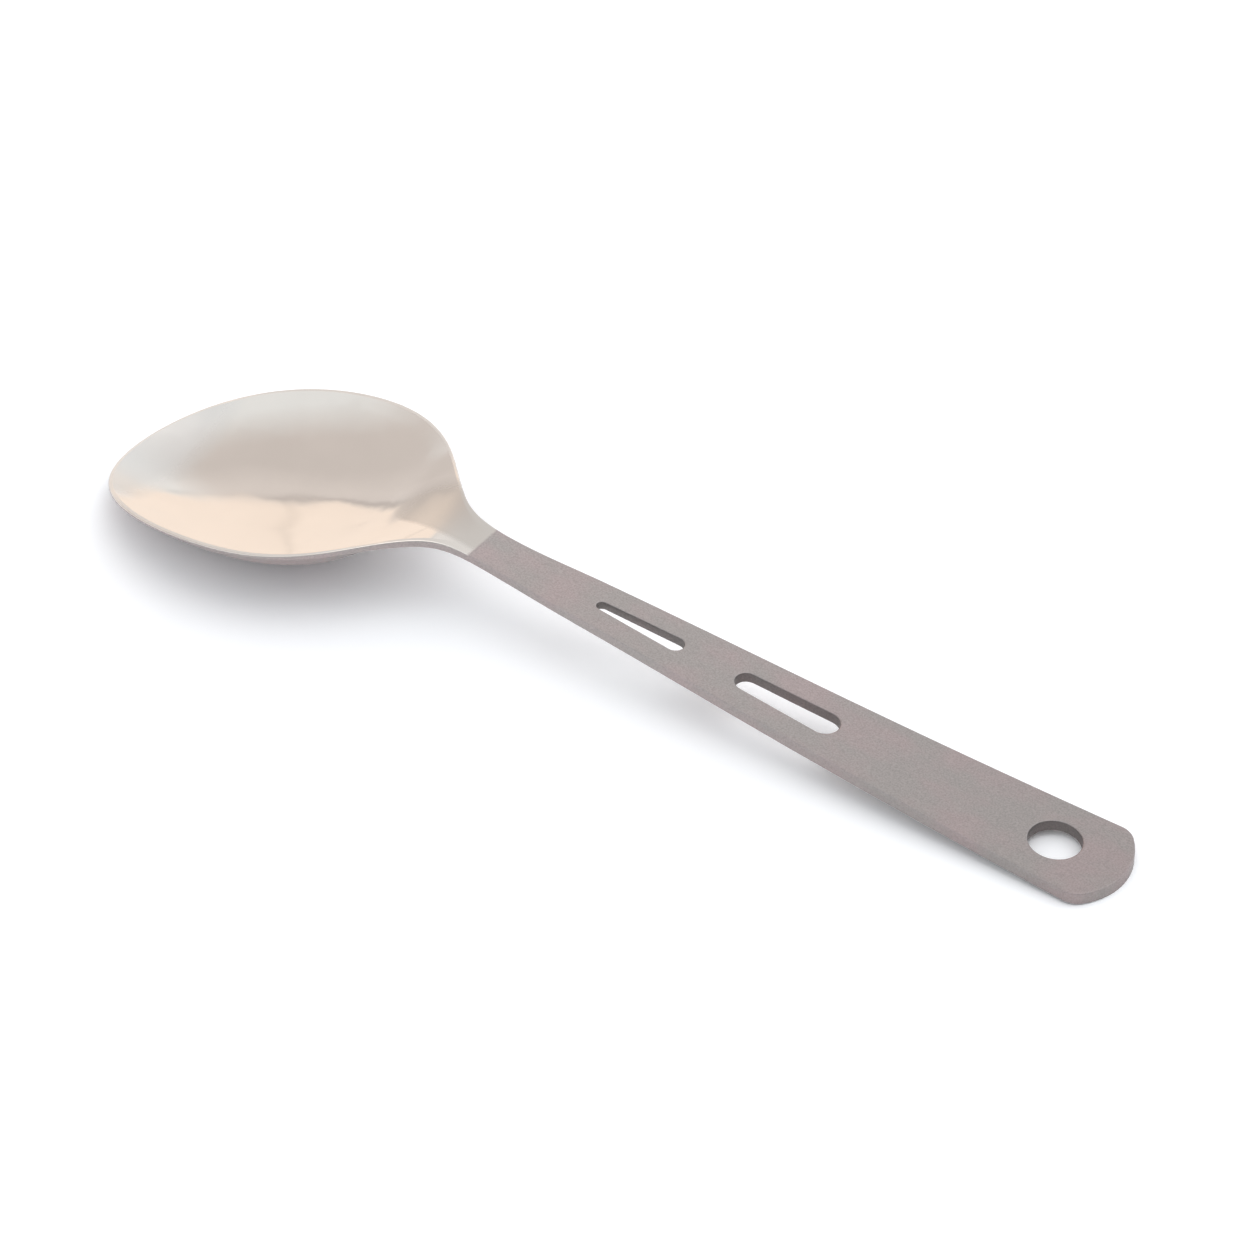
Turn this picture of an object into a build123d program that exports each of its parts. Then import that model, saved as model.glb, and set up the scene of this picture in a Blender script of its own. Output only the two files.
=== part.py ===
"""Table spoon pressed from one blank of titanium sheet.

The spoon lies as it does on a table, bowl open upwards. X runs from the tip of
the bowl to the end of the handle, Y across it, and Z up from the table, which
the bottom of the bowl and the end of the handle both touch.
"""

from build123d import *

import os
from functools import cache

# The blank seen from above: places along the spoon from the tip of the bowl,
# with the full width there
spoon_length = 165.0
widest_place = 29.5
bowl_width = 42.2
shoulder_place = 46.0
shoulder_width = 30.0
heel_place = 54.5
heel_width = 13.3
neck_place = 64.0
neck_width = 6.9
shank_place = 80.0
shank_width = 8.55
end_width = 15.65
end_bow = 3.55
end_corner_radius = 2.9

# The top line seen from the side: rim of the bowl, then top of the handle,
# with heights above the table
tip_height = 2.8
brow_place = 12.0
brow_height = 7.35
widest_height = 10.9
shoulder_height = 12.7
crest_place = 52.5
crest_height = 13.25
neck_height = 11.9
shank_height = 10.1
middle_place = 120.0
middle_height = 5.75

# Metal: the sheet is rolled thin for the bowl and left thick for the handle
rim_width = 0.6
rim_edge = 0.32
bowl_wall = 0.9
neck_thickness = 1.3
end_thickness = 1.8
underside_crown_share = 0.1
bowl_roundness_share = 0.75

# Where the hollow of the bowl runs out in the neck
fade_start = 42.0
fade_end = 69.0
feather = 0.03

# Two slots that widen towards the end, and the hole for hanging
slot_one_start = 82.35
slot_one_end = 94.25
slot_one_narrow_radius = 0.8
slot_one_wide_radius = 1.36
slot_two_start = 106.1
slot_two_end = 118.4
slot_two_narrow_radius = 1.74
slot_two_wide_radius = 2.18
hole_from_end = 10.55
hole_radius = 3.65

# Edges: rounded all over the top by tumbling, and cleared of burrs below
edge_round = 0.2
under_chamfer = 0.15

# How finely the pressed surfaces are sampled, and how far cuts run on
station_step = 1.5
course_step = 1.5
surface_tolerance = 0.0015
probe_step = 0.5
halvings = 40
overrun = 3.0

bowl_half = bowl_width / 2
neck_half = neck_width / 2
shank_half = shank_width / 2
end_half = end_width / 2

# Outline of the blank: half an ellipse at the front of the bowl, then the
# shoulder drawn in to the neck, then the straight side of the handle
with BuildLine() as outline_line:
    front = EllipticalCenterArc(
        (widest_place, 0), widest_place, bowl_half,
        start_angle=90, arc_size=90,
    )
    shoulder = Spline(
        (widest_place, bowl_half),
        (shoulder_place, shoulder_width / 2),
        (heel_place, heel_width / 2),
        (neck_place, neck_half),
        tangents=[(1, 0), (1, 0)],
    )
    side_rise = (end_half - shank_half) / (spoon_length - shank_place)
    waist = Spline(
        (neck_place, neck_half),
        (shank_place, shank_half),
        tangents=[(1, 0), (1, side_rise)],
    )
    side = Line((shank_place, shank_half), (spoon_length - end_bow, end_half))
    mirror(about=Plane.XZ)
    ThreePointArc(
        (spoon_length - end_bow, end_half),
        (spoon_length, 0),
        (spoon_length - end_bow, -end_half),
    )

# Top line of the side view, with heights drawn as Y
with BuildLine() as top_line:
    top = Spline(
        (0, tip_height),
        (brow_place, brow_height),
        (widest_place, widest_height),
        (shoulder_place, shoulder_height),
        (crest_place, crest_height),
        (neck_place, neck_height),
        (shank_place, shank_height),
        (middle_place, middle_height),
        (spoon_length, end_thickness),
    )


def reach(curve, place):
    """Where along a curve, from 0 to 1, it gets to a place in X."""
    low, high = 0.0, 1.0
    for _ in range(halvings):
        middle = (low + high) / 2
        if (curve @ middle).X < place:
            low = middle
        else:
            high = middle
    return low


@cache
def top_height(place):
    """Height of the top line, carried on straight past both ends."""
    inner = min(max(place, 0), spoon_length)
    along = reach(top, inner)
    heading = top % along
    return (top @ along).Y + (place - inner) * heading.Y / heading.X


@cache
def half_width(place):
    """Half the width of the blank behind the widest place."""
    if place < neck_place:
        curve = shoulder
    elif place < shank_place:
        curve = waist
    else:
        curve = side
    return (curve @ reach(curve, place)).Y


def reach_square(place, inset):
    """Square of the half width inside the rim, below zero past the tip."""
    if place < widest_place:
        before = (widest_place - place) / (widest_place - inset)
        return (bowl_half - inset) ** 2 * (1 - before**2)
    return (half_width(place) - inset) ** 2


def ease(share):
    """Smooth step from 0 to 1."""
    clipped = min(max(share, 0), 1)
    return clipped**2 * (3 - 2 * clipped)


def hollow_share(place, across, inset):
    """Depth of the bowl as a share of its greatest depth: 0 at the rim."""
    inside = reach_square(place, inset) - across**2
    outward = 1 - inside / (bowl_half - inset) ** 2
    curved = bowl_roundness_share * outward + (1 - bowl_roundness_share) * outward**2
    fade = 1 - ease((place - fade_start) / (fade_end - fade_start))
    return fade * (1 - curved)


def handle_thickness(place):
    """Thickness on the centre line: full from the middle of the handle on."""
    if place < neck_place:
        rise = ease((place - widest_place) / (neck_place - widest_place))
        return rim_edge + (neck_thickness - rim_edge) * rise
    growth = ease((place - neck_place) / (middle_place - neck_place))
    return neck_thickness + (end_thickness - neck_thickness) * growth


def spaced(start, stop, step):
    """Evenly spaced places from start to stop, about a step apart."""
    count = round((stop - start) / step)
    return [start + (stop - start) * index / count for index in range(count + 1)]


# The bowl is as deep as lets its bottom touch the table under the rim
bowl_depth = min(
    (top_height(place) - handle_thickness(place)) / hollow_share(place, 0, 0)
    for place in spaced(brow_place, shoulder_place, probe_step)
)
hollow_depth = bowl_depth + rim_edge - bowl_wall


def hollow_height(place, across):
    """Inside of the bowl, which runs out just above the top of the neck."""
    share = hollow_share(place, across, rim_width)
    return top_height(place) + feather - (hollow_depth + feather) * share


def under_height(place, across):
    """Outside of the bowl and the crowned underside of the handle."""
    thickness = handle_thickness(place)
    crown = 0
    if place > widest_place:
        growth = ease((place - widest_place) / (neck_place - widest_place))
        crown = growth * underside_crown_share * thickness * (across / half_width(place)) ** 2
    return top_height(place) - thickness + crown - bowl_depth * hollow_share(place, across, 0)


def pressed_surface(height, first, last):
    """Smooth surface of a die, sampled along and across the spoon."""
    edge = bowl_half + overrun / 2
    stations = spaced(first, last, station_step)
    courses = spaced(-edge, edge, course_step)
    return Face.make_surface_from_array_of_points(
        [[(x, y, height(x, y)) for y in courses] for x in stations],
        tol=surface_tolerance,
        min_deg=3,
    )


clear_height = crest_height + overrun
hollow_face = pressed_surface(hollow_height, -overrun, fade_end + overrun)
hollow_die = Solid.extrude(hollow_face, (0, 0, bowl_width))
under_face = pressed_surface(under_height, -overrun, spoon_length + overrun)
under_die = Solid.extrude(under_face, (0, 0, -bowl_width))

with BuildPart() as spoon:
    # The blank, cut along its outline and curved along its top line
    with BuildSketch(Plane.XY.offset(-overrun)) as blank:
        add(outline_line.line)
        make_face()
        fillet(blank.vertices().group_by(Axis.X)[-1], end_corner_radius)
    extrude(amount=clear_height + overrun)
    with BuildSketch(Plane.XZ.offset(-bowl_width)):
        with BuildLine():
            add(top_line.line)
            Polyline(
                top @ 1,
                (spoon_length + overrun, end_thickness),
                (spoon_length + overrun, -overrun),
                (-overrun, -overrun),
                (-overrun, tip_height),
                top @ 0,
            )
        make_face()
    extrude(amount=bowl_width * 2, mode=Mode.INTERSECT)

    # Two slots that widen towards the end
    for start, narrow_radius, stop, wide_radius in (
        (slot_one_start, slot_one_narrow_radius, slot_one_end, slot_one_wide_radius),
        (slot_two_start, slot_two_narrow_radius, slot_two_end, slot_two_wide_radius),
    ):
        with BuildSketch(Plane.XY.offset(-overrun)):
            with Locations((start, 0)):
                Circle(narrow_radius)
            with Locations((stop, 0)):
                Circle(wide_radius)
            make_hull()
        extrude(amount=clear_height + overrun, mode=Mode.SUBTRACT)

    # The hanging hole
    with BuildSketch(Plane.XY.offset(-overrun)):
        with Locations((spoon_length - hole_from_end, 0)):
            Circle(hole_radius)
    extrude(amount=clear_height + overrun, mode=Mode.SUBTRACT)

    # Rounded along the outline, the slots and the hole
    fillet(spoon.faces().sort_by(Axis.Z)[-1].edges(), edge_round)

    # Pressed between the dies: the underside below, the hollow of the bowl above
    add(under_die, mode=Mode.SUBTRACT)
    add(hollow_die, mode=Mode.SUBTRACT)

    # The underside is the largest face, and its inner wires are the punched edges
    chamfer(spoon.faces().sort_by(SortBy.AREA)[-1].inner_wires().edges(), under_chamfer)

# The origin is on the table under the middle of the spoon's length
spoon.part.move(Location((-spoon_length / 2, 0, 0)))
spoon.part.label = "spoon"

os.makedirs("parts", exist_ok=True)
export_step(spoon.part, "parts/spoon.step")
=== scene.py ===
import math

import bpy
from mathutils import Matrix, Vector


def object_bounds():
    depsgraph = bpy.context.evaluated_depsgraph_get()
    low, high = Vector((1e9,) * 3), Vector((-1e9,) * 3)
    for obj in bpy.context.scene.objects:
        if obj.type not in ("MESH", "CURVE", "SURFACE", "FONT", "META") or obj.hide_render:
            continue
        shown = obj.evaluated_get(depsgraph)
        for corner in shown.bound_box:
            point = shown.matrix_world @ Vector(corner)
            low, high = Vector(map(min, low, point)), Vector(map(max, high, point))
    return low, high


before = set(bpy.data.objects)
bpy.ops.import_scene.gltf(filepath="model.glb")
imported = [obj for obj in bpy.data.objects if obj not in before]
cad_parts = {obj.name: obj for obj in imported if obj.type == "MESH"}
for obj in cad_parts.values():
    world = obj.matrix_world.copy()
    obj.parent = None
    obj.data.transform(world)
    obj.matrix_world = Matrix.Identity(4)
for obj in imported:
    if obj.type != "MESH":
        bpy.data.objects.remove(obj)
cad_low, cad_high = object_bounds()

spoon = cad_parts["spoon"]


# The camera stands in front of the spoon and to the right of it, and looks down
# on it as from a seat at the table.

camera_azimuth = math.radians(34.10)
camera_elevation = math.radians(38.32)
camera_roll = math.radians(0.08)
camera_distance = 0.6842
aim = Vector((0.00278, 0, 0.00863))
photo_pixels = 1240
focal_pixels = 5000

towards_camera = Vector((
    math.sin(camera_azimuth) * math.cos(camera_elevation),
    -math.cos(camera_azimuth) * math.cos(camera_elevation),
    math.sin(camera_elevation),
))
camera_data = bpy.data.cameras.new("photo_camera")
camera_data.sensor_width = 36
camera_data.lens = focal_pixels * camera_data.sensor_width / photo_pixels
camera_data.clip_start = 0.01
camera = bpy.data.objects.new("photo_camera", camera_data)
camera.matrix_world = (
    Matrix.Translation(aim + towards_camera * camera_distance)
    @ Matrix.Rotation(camera_azimuth, 4, "Z")
    @ Matrix.Rotation(math.pi / 2 - camera_elevation, 4, "X")
    @ Matrix.Rotation(camera_roll, 4, "Z")
)
bpy.context.scene.collection.objects.link(camera)
bpy.context.scene.camera = camera


# The spoon is one pressed blank of titanium, blasted with beads. The inside of
# its bowl is polished with a soft mop, up to a straight line across the neck,
# where the handle was masked.


def add_node(tree, kind, **settings):
    """Adds a node with its settings."""
    made = tree.nodes.new(kind)
    for name, value in settings.items():
        setattr(made, name, value)
    return made


def feed(tree, socket, value):
    """Gives a socket its value: another node's output, or a constant."""
    if isinstance(value, bpy.types.NodeSocket):
        tree.links.new(value, socket)
    else:
        socket.default_value = value


def split(tree, vector):
    """The three parts of a vector."""
    parts = add_node(tree, "ShaderNodeSeparateXYZ")
    feed(tree, parts.inputs["Vector"], vector)
    return parts.outputs["X"], parts.outputs["Y"], parts.outputs["Z"]


def calculate(tree, operation, first, second=0):
    """One sum on one or two values."""
    sum_node = add_node(tree, "ShaderNodeMath", operation=operation)
    feed(tree, sum_node.inputs[0], first)
    feed(tree, sum_node.inputs[1], second)
    return sum_node.outputs["Value"]


def multiply(tree, first, *others):
    """Two or more values multiplied together."""
    for other in others:
        first = calculate(tree, "MULTIPLY", first, other)
    return first


def calculate_vector(tree, operation, first, second=(0, 0, 0)):
    """One sum on one or two vectors, or on a vector and the number it is scaled by."""
    sum_node = add_node(tree, "ShaderNodeVectorMath", operation=operation)
    feed(tree, sum_node.inputs[0], first)
    feed(tree, sum_node.inputs["Scale" if operation == "SCALE" else 1], second)
    return sum_node.outputs["Value" if operation == "DOT_PRODUCT" else "Vector"]


def remap(tree, value, low, high, new_low, new_high):
    """Maps a value from one range to another, held at the ends."""
    ranged = add_node(tree, "ShaderNodeMapRange")
    ranged.inputs["From Min"].default_value = low
    ranged.inputs["From Max"].default_value = high
    ranged.inputs["To Min"].default_value = new_low
    ranged.inputs["To Max"].default_value = new_high
    feed(tree, ranged.inputs["Value"], value)
    return ranged.outputs["Result"]


def rises(tree, value, start, end):
    """A mask that is 0 up to a start and 1 from an end on."""
    return remap(tree, value, start, end, 0, 1)


def falls(tree, value, start, end):
    """A mask that is 1 up to a start and 0 from an end on."""
    return remap(tree, value, start, end, 1, 0)


def blend_by(tree, share, first, second, data_type="FLOAT"):
    """Goes from the first value or colour to the second as share goes from 0 to 1."""
    mix = add_node(tree, "ShaderNodeMix", data_type=data_type)
    sockets = [socket for socket in mix.inputs if socket.enabled]
    for socket, value in zip(sockets, (share, first, second)):
        feed(tree, socket, value)
    return next(socket for socket in mix.outputs if socket.enabled)


def stretched_noise(tree, coordinates, grain, detail, turn=0):
    """Noise whose grains have the given length, width and height, turned about Z."""
    mapping = add_node(tree, "ShaderNodeMapping")
    mapping.inputs["Rotation"].default_value = (0, 0, turn)
    mapping.inputs["Scale"].default_value = [1 / size for size in grain]
    feed(tree, mapping.inputs["Vector"], coordinates)
    noise = add_node(tree, "ShaderNodeTexNoise")
    noise.inputs["Scale"].default_value = 1
    noise.inputs["Detail"].default_value = detail
    feed(tree, noise.inputs["Vector"], mapping.outputs["Vector"])
    return noise.outputs["Fac"]


def spread(tree, noise, low, high):
    """Spreads noise, which lies mostly between 0.3 and 0.7, over a range."""
    return remap(tree, noise, 0.3, 0.7, low, high)


titanium = bpy.data.materials.new("titanium")
titanium.use_nodes = True
metal = titanium.node_tree
surface = metal.nodes["Principled BSDF"]
surface.inputs["Metallic"].default_value = 1
position = add_node(metal, "ShaderNodeTexCoord").outputs["Object"]
along, across, above = split(metal, position)
true_normal = add_node(metal, "ShaderNodeNewGeometry").outputs["Normal"]
facing_up = split(metal, true_normal)[2]

# The blasted part is the handle and whatever faces sideways or down
finish_line = -0.02024
finish_blur = 0.0002
sideways = (0.3, 0.5)
behind_line = rises(metal, along, finish_line - finish_blur, finish_line + finish_blur)
underneath = falls(metal, facing_up, *sideways)
blasted = calculate(metal, "MAXIMUM", behind_line, underneath)

# Blasted finish: a fine even grain of pits, in slow clouds of pinker and greyer
# metal. A painted falloff of light makes it lighter at the neck and darker towards the end of
# the handle
blasted_pinker = (0.400, 0.336, 0.329, 1)
blasted_greyer = (0.383, 0.350, 0.336, 1)
pit_size = (0.00024, 0.00024, 0.00024)
cloud_size = (0.009, 0.006, 0.006)
pink_share = (0.38, 0.62)
pit_tones = (0.84, 1.16)
pit_roughness = (0.50, 0.62)
cloud_tones = (0.97, 1.03)
neck_end_painted_light, handle_end_painted_shade = 1.08, 0.91
pits = stretched_noise(metal, position, pit_size, detail=2)
clouds = stretched_noise(metal, position, cloud_size, detail=3)
pinkness = rises(metal, clouds, *pink_share)
blasted_colour = blend_by(metal, pinkness, blasted_greyer, blasted_pinker, "RGBA")
blasted_roughness = spread(metal, pits, *pit_roughness)
pit_tone = spread(metal, pits, *pit_tones)
cloud_tone = spread(metal, clouds, *cloud_tones)
# Painted falloff of light along the handle, from the neck to its end
painted_light_falloff = remap(metal, along, finish_line, cad_high[0], neck_end_painted_light, handle_end_painted_shade)

# The rounded edges of the blasted handle are rubbed a little brighter
worn_edge_width = 0.0003
worn_edge_tone = 1.08
worn_evenness, plain_evenness = 0.86, 0.98
rounded = add_node(metal, "ShaderNodeBevel", samples=8)
rounded.inputs["Radius"].default_value = worn_edge_width
evenness = calculate_vector(metal, "DOT_PRODUCT", rounded.outputs["Normal"], true_normal)
edge_tone = remap(metal, evenness, worn_evenness, plain_evenness, worn_edge_tone, 1)

# Painted shade: the walls of the slots and the hole, where shade falls in the narrow
# openings, are darkened in colour. These walls all lie nearer the middle than the handle's
# sides do
recess_shade_tone = 0.6
openings_start = -0.0020
openings_end = 0.0775
openings_half_width = 0.0039
openings_blur = 0.0003
steepness = (0.4, 0.7)
levelness = calculate(metal, "ABSOLUTE", facing_up)
upright = falls(metal, levelness, *steepness)
off_centre = calculate(metal, "ABSOLUTE", across)
in_middle = falls(metal, off_centre, openings_half_width, openings_half_width + openings_blur)
past_start = rises(metal, along, openings_start, openings_start + openings_blur)
before_end = falls(metal, along, openings_end, openings_end + openings_blur)
painted_recess_shade = multiply(metal, upright, in_middle, past_start, before_end)
opening_painted_shade = blend_by(metal, painted_recess_shade, 1, recess_shade_tone)
# The blasted tone carries painted shade in the openings and a painted falloff of light along
# the handle
blasted_tone_and_painted_shade = multiply(metal, pit_tone, cloud_tone, painted_light_falloff, edge_tone, opening_painted_shade)

# A patch on the neck is rougher, and its colour is darkened as a painted darker
# reflection. Its near side is straight along the neck and curves away across the bowl
neck_painted_shade = 0.79
satin_roughness = 0.2
curve_start = -0.027
curve_bend = 50
patch_near_edge = (-0.0026, -0.0017)
patch_far_edge = (0.0065, 0.0095)
patch_front_edge = (-0.0405, -0.0345)
before_curve = calculate(metal, "SUBTRACT", curve_start, along)
before_curve = calculate(metal, "MAXIMUM", before_curve, 0)
near_side = multiply(metal, before_curve, before_curve, curve_bend)
past_near_side = calculate(metal, "SUBTRACT", across, near_side)
on_patch_side = rises(metal, past_near_side, *patch_near_edge)
past_bowl = rises(metal, along, *patch_front_edge)
off_far_wall = falls(metal, across, *patch_far_edge)
rough_and_shaded_neck_patch = multiply(metal, on_patch_side, past_bowl, off_far_wall)
# Painted darker reflection on the neck patch
neck_patch_painted_shade = blend_by(metal, rough_and_shaded_neck_patch, 1, neck_painted_shade)
satin_patch_roughness = blend_by(metal, rough_and_shaded_neck_patch, 0, satin_roughness)

# The rim and the tip of the bowl are duller. The rim is the part that faces up
# and lies over a line just under it, which bends where the rim does.
rim_roughness = 0.35
rim_level = (0.92, 0.96)
rim_end = (-0.036, -0.031)
rim_blur = 0.0004
tip_end = (-0.0765, -0.0725)
tip_share = 0.7
rim_bend, rim_widest = -0.0705, -0.0530
line_at_tip, line_at_bend, line_at_widest = 0.0023, 0.0068, 0.0104
line_start = remap(metal, along, cad_low[0], rim_bend, line_at_tip, line_at_bend)
line_rise = remap(metal, along, rim_bend, rim_widest, 0, line_at_widest - line_at_bend)
line_under_rim = calculate(metal, "ADD", line_start, line_rise)
over_line = calculate(metal, "SUBTRACT", above, line_under_rim)
raised = rises(metal, over_line, 0, rim_blur)
level = rises(metal, facing_up, *rim_level)
before_neck = falls(metal, along, *rim_end)
rim_land = multiply(metal, level, raised, before_neck)
at_tip = remap(metal, along, *tip_end, tip_share, 0)
dull = calculate(metal, "MAXIMUM", rim_land, at_tip)
dull_roughness = blend_by(metal, dull, 0, rim_roughness)

# Polished finish: a thin haze, and faint lines that the mop left round the bowl
polished_titanium = (0.70, 0.64, 0.585, 1)
dull_titanium = (0.63, 0.605, 0.58, 1)
line_size = (0.004, 0.00012, 0.0004)
line_turn = 0.3
haze_size = (0.007, 0.007, 0.007)
haze_tones = (0.985, 1.015)
mop_roughness = (0.09, 0.15)
lines = stretched_noise(metal, position, line_size, detail=3, turn=line_turn)
haze = stretched_noise(metal, position, haze_size, detail=2)
haze_tone = spread(metal, haze, *haze_tones)
# The haze, with the painted darker reflection of the neck patch
polished_haze_and_shade = multiply(metal, haze_tone, neck_patch_painted_shade)
line_roughness = spread(metal, lines, *mop_roughness)
polished_roughness = calculate(metal, "ADD", line_roughness, satin_patch_roughness)
polished_roughness = calculate(metal, "ADD", polished_roughness, dull_roughness)
polished_colour = blend_by(metal, dull, polished_titanium, dull_titanium, "RGBA")

# The two finishes meet at the line across the neck
relief_depth = 0.00002
line_relief, pit_relief = 0.02, 0.25
tone = blend_by(metal, blasted, polished_haze_and_shade, blasted_tone_and_painted_shade)
colour = blend_by(metal, blasted, polished_colour, blasted_colour, "RGBA")
toned_colour = calculate_vector(metal, "SCALE", colour, tone)
roughness = blend_by(metal, blasted, polished_roughness, blasted_roughness)
relief_height = blend_by(metal, blasted, lines, pits)
relief_strength = blend_by(metal, blasted, line_relief, pit_relief)

# The mop has flattened the near wall and the way up to the neck, so that they
# mirror the window over the far rim. Only the normals are eased: the wall's slope
# is held to about 10 degrees, and the way up to about 15.
flattened_side = (-0.56, 0.83, 0)
flattened_from = (0.0297, 0.0337)
slope_kept, slope_steepest, slope_taken = 0.15, 0.7, 0.51
neck_lean = -0.25
way_up_start = (-0.043, -0.038)
way_up_delay = -0.0015
far_rim_edge = (0.0105, 0.0145)
inside = calculate(metal, "SUBTRACT", 1, blasted)
slope = calculate_vector(metal, "DOT_PRODUCT", true_normal, flattened_side)
excess = remap(metal, slope, slope_kept, slope_steepest, 0, slope_taken)
off_middle = calculate_vector(metal, "DOT_PRODUCT", position, flattened_side)
on_this_side = falls(metal, off_middle, *flattened_from)
excess = multiply(metal, excess, on_this_side, inside)
taken = calculate_vector(metal, "SCALE", flattened_side, excess)
flattened = calculate_vector(metal, "SUBTRACT", true_normal, taken)
lean_along, lean_across, lean_up = split(metal, flattened)
held_lean = calculate(metal, "MAXIMUM", lean_along, neck_lean)
delay = multiply(metal, on_patch_side, way_up_delay)
way_up = rises(metal, calculate(metal, "ADD", along, delay), *way_up_start)
off_far_rim = falls(metal, across, *far_rim_edge)
at_neck = multiply(metal, way_up, off_far_rim, inside)
eased = add_node(metal, "ShaderNodeCombineXYZ")
feed(metal, eased.inputs["X"], blend_by(metal, at_neck, lean_along, held_lean))
feed(metal, eased.inputs["Y"], lean_across)
feed(metal, eased.inputs["Z"], lean_up)
eased_normal = calculate_vector(metal, "NORMALIZE", eased.outputs["Vector"])

relief = add_node(metal, "ShaderNodeBump")
relief.inputs["Distance"].default_value = relief_depth
feed(metal, relief.inputs["Strength"], relief_strength)
feed(metal, relief.inputs["Height"], relief_height)
feed(metal, relief.inputs["Normal"], eased_normal)
feed(metal, surface.inputs["Base Color"], toned_colour)
feed(metal, surface.inputs["Roughness"], roughness)
feed(metal, surface.inputs["Normal"], relief.outputs["Normal"])

spoon.data.materials.clear()
spoon.data.materials.append(titanium)


# The table under the spoon is white and smooth and has no edge in view. The
# camera and the metal see it lighter than it is, so that it runs into the white
# behind it, and the spoon's shadow stays on it.

table_reach = 4.0
lit_white = (0.72, 0.72, 0.72, 1)
seen_white = (1.09, 1.085, 1.09, 1)

bpy.ops.mesh.primitive_plane_add(size=table_reach, location=(0, 0, cad_low[2]))
table = bpy.context.object
table.name = "table"
white_card = bpy.data.materials.new("white_card")
white_card.use_nodes = True
card = white_card.node_tree
card.nodes.remove(card.nodes["Principled BSDF"])
lit_card = add_node(card, "ShaderNodeBsdfDiffuse")
lit_card.inputs["Color"].default_value = lit_white
seen_card = add_node(card, "ShaderNodeBsdfDiffuse")
seen_card.inputs["Color"].default_value = seen_white
path = add_node(card, "ShaderNodeLightPath").outputs
seen = calculate(card, "MAXIMUM", path["Is Camera Ray"], path["Is Glossy Ray"])
seen = calculate(card, "MAXIMUM", seen, path["Is Transmission Ray"])
card_mix = add_node(card, "ShaderNodeMixShader")
feed(card, card_mix.inputs["Fac"], seen)
feed(card, card_mix.inputs[1], lit_card.outputs["BSDF"])
feed(card, card_mix.inputs[2], seen_card.outputs["BSDF"])
feed(card, card.nodes["Material Output"].inputs["Surface"], card_mix.outputs["Shader"])
table.data.materials.append(white_card)


# The light is a soft white studio round the spoon, brightest high behind it to
# the right and dim in front. At the left a darker wall holds a wide warm window,
# low behind the spoon, with a bar down its middle. The bowl mirrors all of it.

bright_wall = (1.08, 1.15, 1.20, 1)
left_wall = (0.83, 0.80, 0.795, 1)
back_light = (1.30, 1.32, 1.35, 1)
high_light = (1.90, 1.91, 1.93, 1)
front_share = 0.45
left_heading, left_reach = (-0.749, 0.159, 0.643), (0.70, 0.88)
back_heading, back_reach = (0.4545, 0.4545, 0.766), (0.80, 0.95)
high_heading, high_reach = (0.375, 0, 0.927), (0.883, 0.97)
front_heading, front_reach = (0.75, -0.6, -0.3), (0.25, 0.65)

world = bpy.data.worlds.new("studio")
bpy.context.scene.world = world
world.use_nodes = True
room = world.node_tree
heading = add_node(room, "ShaderNodeTexCoord").outputs["Generated"]


def towards(direction, edge, full):
    """How far a heading goes in a direction: 0 up to edge, 1 from full on."""
    nearness = calculate_vector(room, "DOT_PRODUCT", heading, direction)
    return rises(room, nearness, edge, full)


at_left = towards(left_heading, *left_reach)
at_back = towards(back_heading, *back_reach)
up_high = towards(high_heading, *high_reach)
in_front = towards(front_heading, *front_reach)
walls = blend_by(room, at_left, bright_wall, left_wall, "RGBA")
walls = blend_by(room, at_back, walls, back_light, "RGBA")
walls = blend_by(room, up_high, walls, high_light, "RGBA")
front_tone = blend_by(room, in_front, 1, front_share)

# Angles round the horizon from straight behind the spoon, and up from it
to_right, to_back, to_top = split(room, heading)
turn = calculate(room, "ARCTAN2", to_right, to_back)
rise = calculate(room, "ARCSINE", to_top)

# How far a heading lies outside the window, which has round corners and a right
# side that slants to the left as it goes up
window_left, window_right = math.radians(-62.5), math.radians(-4.5)
window_top = math.radians(38)
window_slant = 0.93
window_corner = math.radians(6)
past_left = calculate(room, "SUBTRACT", window_left + window_corner, turn)
slanted = calculate(room, "ADD", multiply(room, rise, window_slant), turn)
past_right = calculate(room, "SUBTRACT", slanted, window_right - window_corner)
past_side = calculate(room, "MAXIMUM", past_left, past_right)
past_side = calculate(room, "MAXIMUM", past_side, 0)
past_top = calculate(room, "SUBTRACT", rise, window_top - window_corner)
past_top = calculate(room, "MAXIMUM", past_top, 0)
side_square = multiply(room, past_side, past_side)
top_square = multiply(room, past_top, past_top)
past_both = calculate(room, "SQRT", calculate(room, "ADD", side_square, top_square))
outside = calculate(room, "SUBTRACT", past_both, window_corner)

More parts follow.
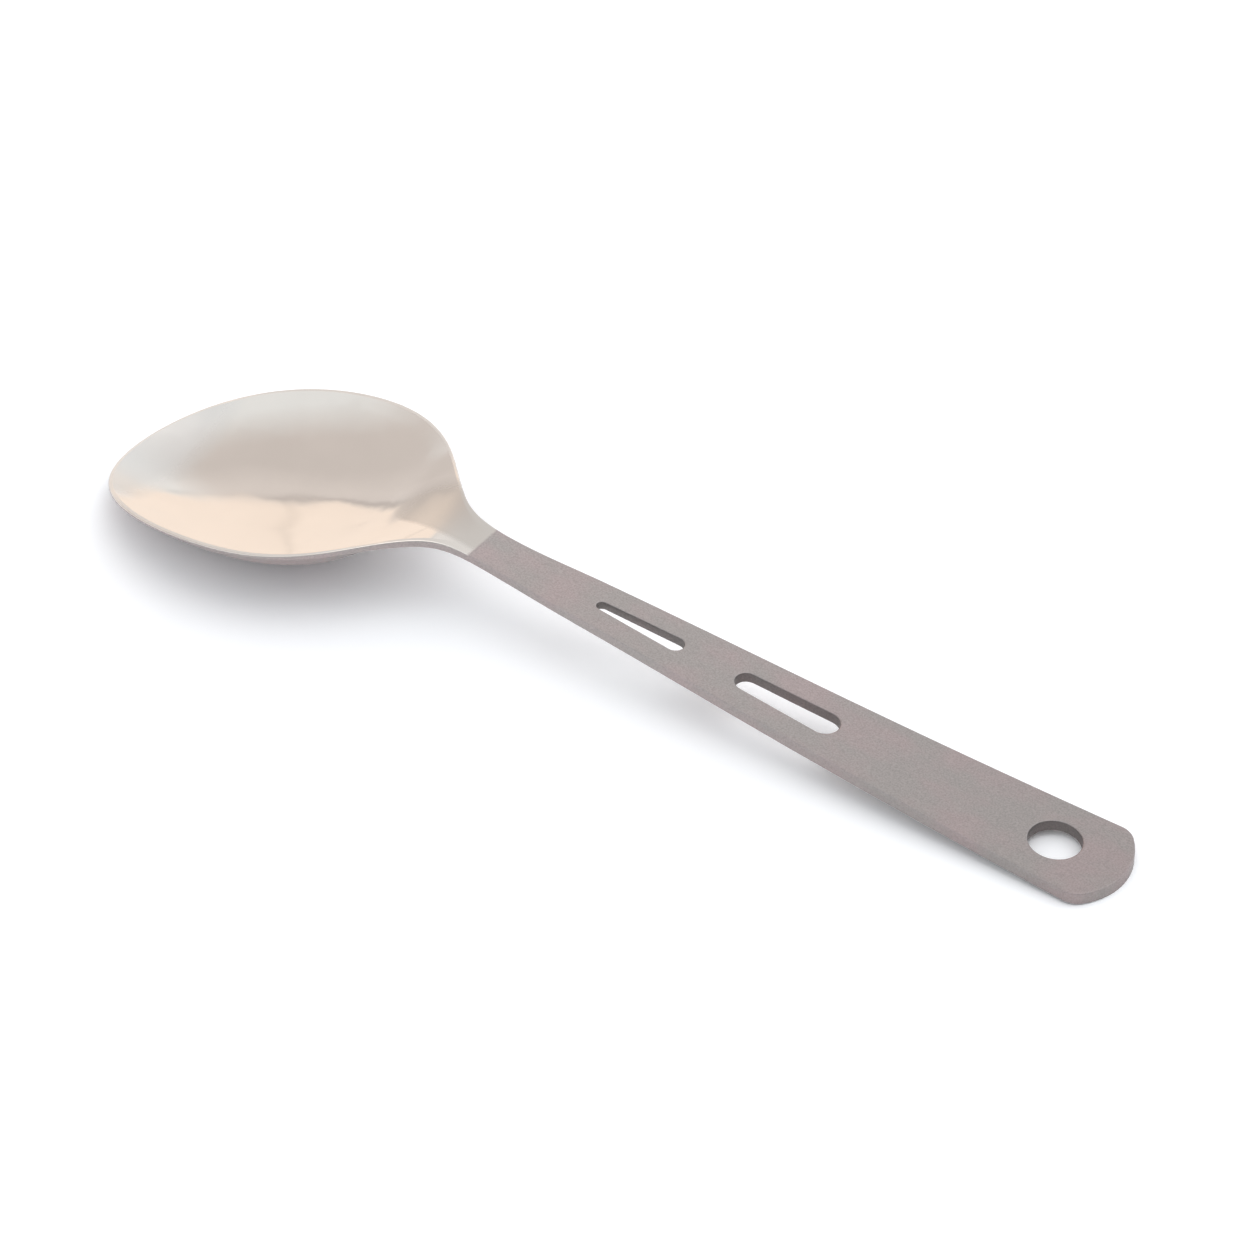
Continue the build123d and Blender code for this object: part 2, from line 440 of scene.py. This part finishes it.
# The window's edge is sharp, but out of focus along the middle of its top, and
# the wall glows a little round it
window_light = (1.32, 1.20, 1.10, 1)
sharp_blur, soft_blur = math.radians(1), math.radians(3.5)
soft_from = (math.radians(-52), math.radians(-47))
soft_to = (math.radians(-33), math.radians(-27))
glow_reach = (math.radians(8), math.radians(24))
glow = 1.14
past_soft_start = rises(room, turn, *soft_from)
before_soft_end = falls(room, turn, *soft_to)
soft = multiply(room, past_soft_start, before_soft_end)
blur = blend_by(room, soft, sharp_blur, soft_blur)
in_window = falls(room, calculate(room, "DIVIDE", outside, blur), -1, 1)
glow_tone = remap(room, outside, *glow_reach, glow, 1)
wall_tone = multiply(room, front_tone, glow_tone)
toned_walls = calculate_vector(room, "SCALE", walls, wall_tone)
lit = blend_by(room, in_window, toned_walls, window_light, "RGBA")


def dark_line(distance, width, strength):
    """The light that is left by a soft dark line, which lies where distance is 0."""
    nearness = calculate(room, "ABSOLUTE", distance)
    return remap(room, nearness, 0, width, 1 - strength, 1)


# A frame round the window, faint where it is out of focus, and the slanting bar
frame_width = math.radians(2.2)
frame_strength = 0.36
soft_frame_share = 0.3
bar_foot = math.radians(-30.4)
bar_slant = -0.55
bar_width = math.radians(0.8)
bar_strength = 0.3
off_frame = calculate(room, "SUBTRACT", outside, frame_width)
frame_share = blend_by(room, soft, 1, soft_frame_share)
full_frame_shade = dark_line(off_frame, frame_width, frame_strength)
frame_shade = blend_by(room, frame_share, 1, full_frame_shade)
bar_place = calculate(room, "ADD", multiply(room, rise, bar_slant), bar_foot)
off_bar = calculate(room, "SUBTRACT", turn, bar_place)
bar_shade = blend_by(room, in_window, 1, dark_line(off_bar, bar_width, bar_strength))
shade = multiply(room, frame_shade, bar_shade)
shaded = calculate_vector(room, "SCALE", lit, shade)

room_light = room.nodes["Background"]
feed(room, room_light.inputs["Color"], shaded)
backdrop = add_node(room, "ShaderNodeBackground")
backdrop.inputs["Color"].default_value = (1, 1, 1, 1)
room_path = add_node(room, "ShaderNodeLightPath").outputs
room_mix = add_node(room, "ShaderNodeMixShader")
feed(room, room_mix.inputs["Fac"], room_path["Is Camera Ray"])
feed(room, room_mix.inputs[1], room_light.outputs["Background"])
feed(room, room_mix.inputs[2], backdrop.outputs["Background"])
feed(room, room.nodes["World Output"].inputs["Surface"], room_mix.outputs["Shader"])

bpy.context.scene.view_settings.view_transform = "Standard"
